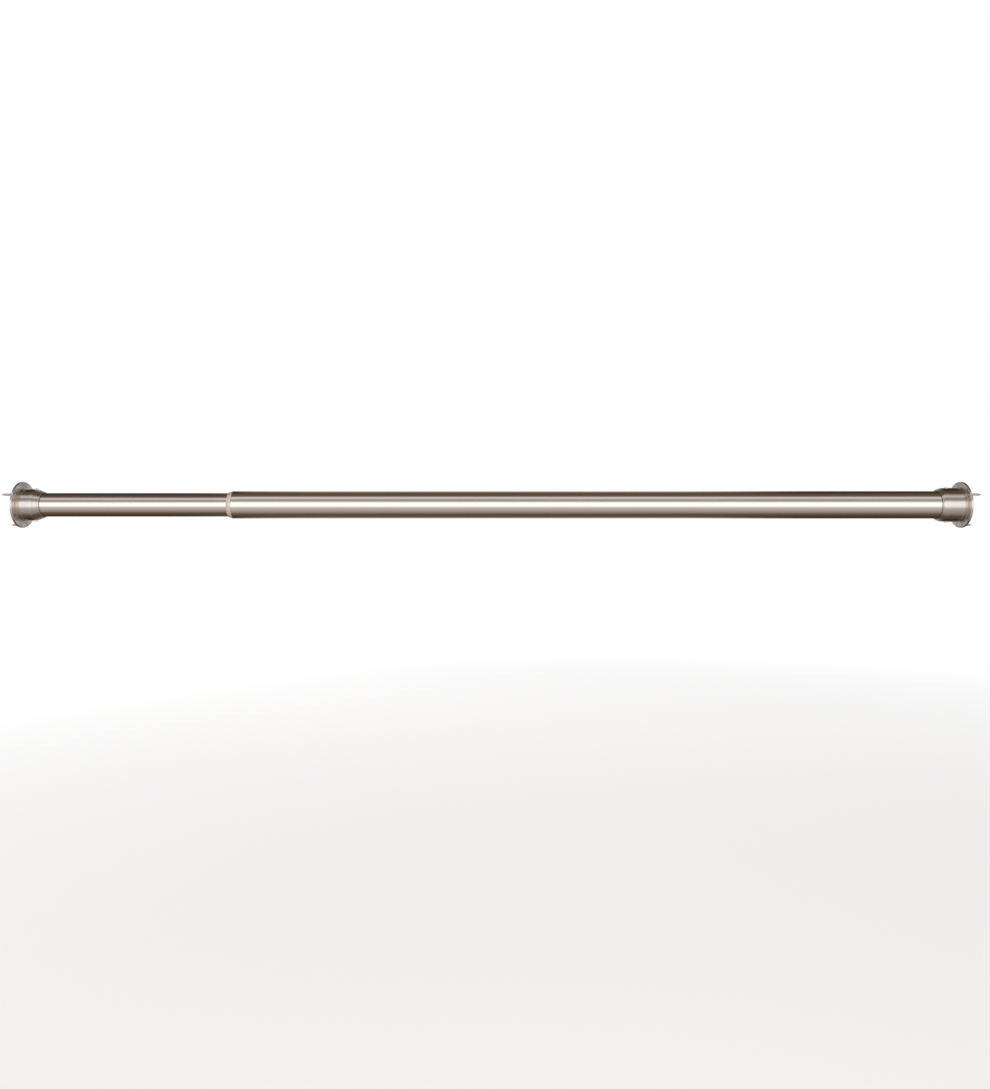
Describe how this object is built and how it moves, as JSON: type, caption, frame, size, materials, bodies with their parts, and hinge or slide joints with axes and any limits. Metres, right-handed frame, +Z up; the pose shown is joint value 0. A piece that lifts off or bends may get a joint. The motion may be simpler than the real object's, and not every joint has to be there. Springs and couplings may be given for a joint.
{
  "type": "adjustable rod with wall flanges",
  "caption": "Adjustable closet or curtain rod: a smaller tube slides in a larger one, and each end sits in a round wall flange with set screws and countersunk wood screws.",
  "frame": {"origin": "centre of the right-hand flange's wall face, on the rod's axis", "axes": "+X out of the right-hand wall face, so the rod runs from the origin towards -X; +Z up; +Y towards the back"},
  "size_m": [1.1636, 0.0558, 0.0558],
  "materials": {
    "tube_nickel": "satin nickel plate, drawn lengthwise",
    "flange_nickel": "satin nickel plate on a turned casting",
    "screw_steel": "bright plated steel",
    "cream_plastic": "cream moulded plastic"
  },
  "bodies": {
    "right_flange": {"right_flange": "flange_nickel", "right_wall_screw_bottom": "screw_steel", "right_wall_screw_back": "screw_steel", "right_wall_screw_front": "screw_steel"},
    "outer_tube": {"outer_tube": "tube_nickel", "tube_collar": "cream_plastic"},
    "inner_tube": {"inner_tube": "tube_nickel", "end_glide": "cream_plastic"},
    "left_flange": {"left_flange": "flange_nickel", "left_wall_screw_bottom": "screw_steel", "left_wall_screw_back": "screw_steel", "left_wall_screw_front": "screw_steel"},
    "right_set_screw_top": {"right_set_screw_top": "screw_steel"},
    "right_set_screw_bottom": {"right_set_screw_bottom": "screw_steel"},
    "left_set_screw_top": {"left_set_screw_top": "screw_steel"},
    "left_set_screw_bottom": {"left_set_screw_bottom": "screw_steel"}
  },
  "joints": [
    {"name": "right_socket_turn", "type": "hinge", "parent": "right_flange", "child": "outer_tube", "pos_m": [0, 0, 0], "axis": [1, 0, 0], "continuous": true},
    {"name": "telescope", "type": "slide", "parent": "outer_tube", "child": "inner_tube", "axis": [-1, 0, 0], "range_m": [-0.218, 0.388]},
    {"name": "left_socket_turn", "type": "hinge", "parent": "inner_tube", "child": "left_flange", "pos_m": [-1.136, 0, 0], "axis": [1, 0, 0], "continuous": true},
    {"name": "right_top_screw_out", "type": "slide", "parent": "right_flange", "child": "right_set_screw_top", "axis": [0, 0, 1], "range_m": [0, 0.002]},
    {"name": "right_bottom_screw_out", "type": "slide", "parent": "right_flange", "child": "right_set_screw_bottom", "axis": [0, 0, -1], "range_m": [0, 0.002]},
    {"name": "left_top_screw_out", "type": "slide", "parent": "left_flange", "child": "left_set_screw_top", "axis": [0, 0, 1], "range_m": [0, 0.002]},
    {"name": "left_bottom_screw_out", "type": "slide", "parent": "left_flange", "child": "left_set_screw_bottom", "axis": [0, 0, -1], "range_m": [0, 0.002]}
  ]
}
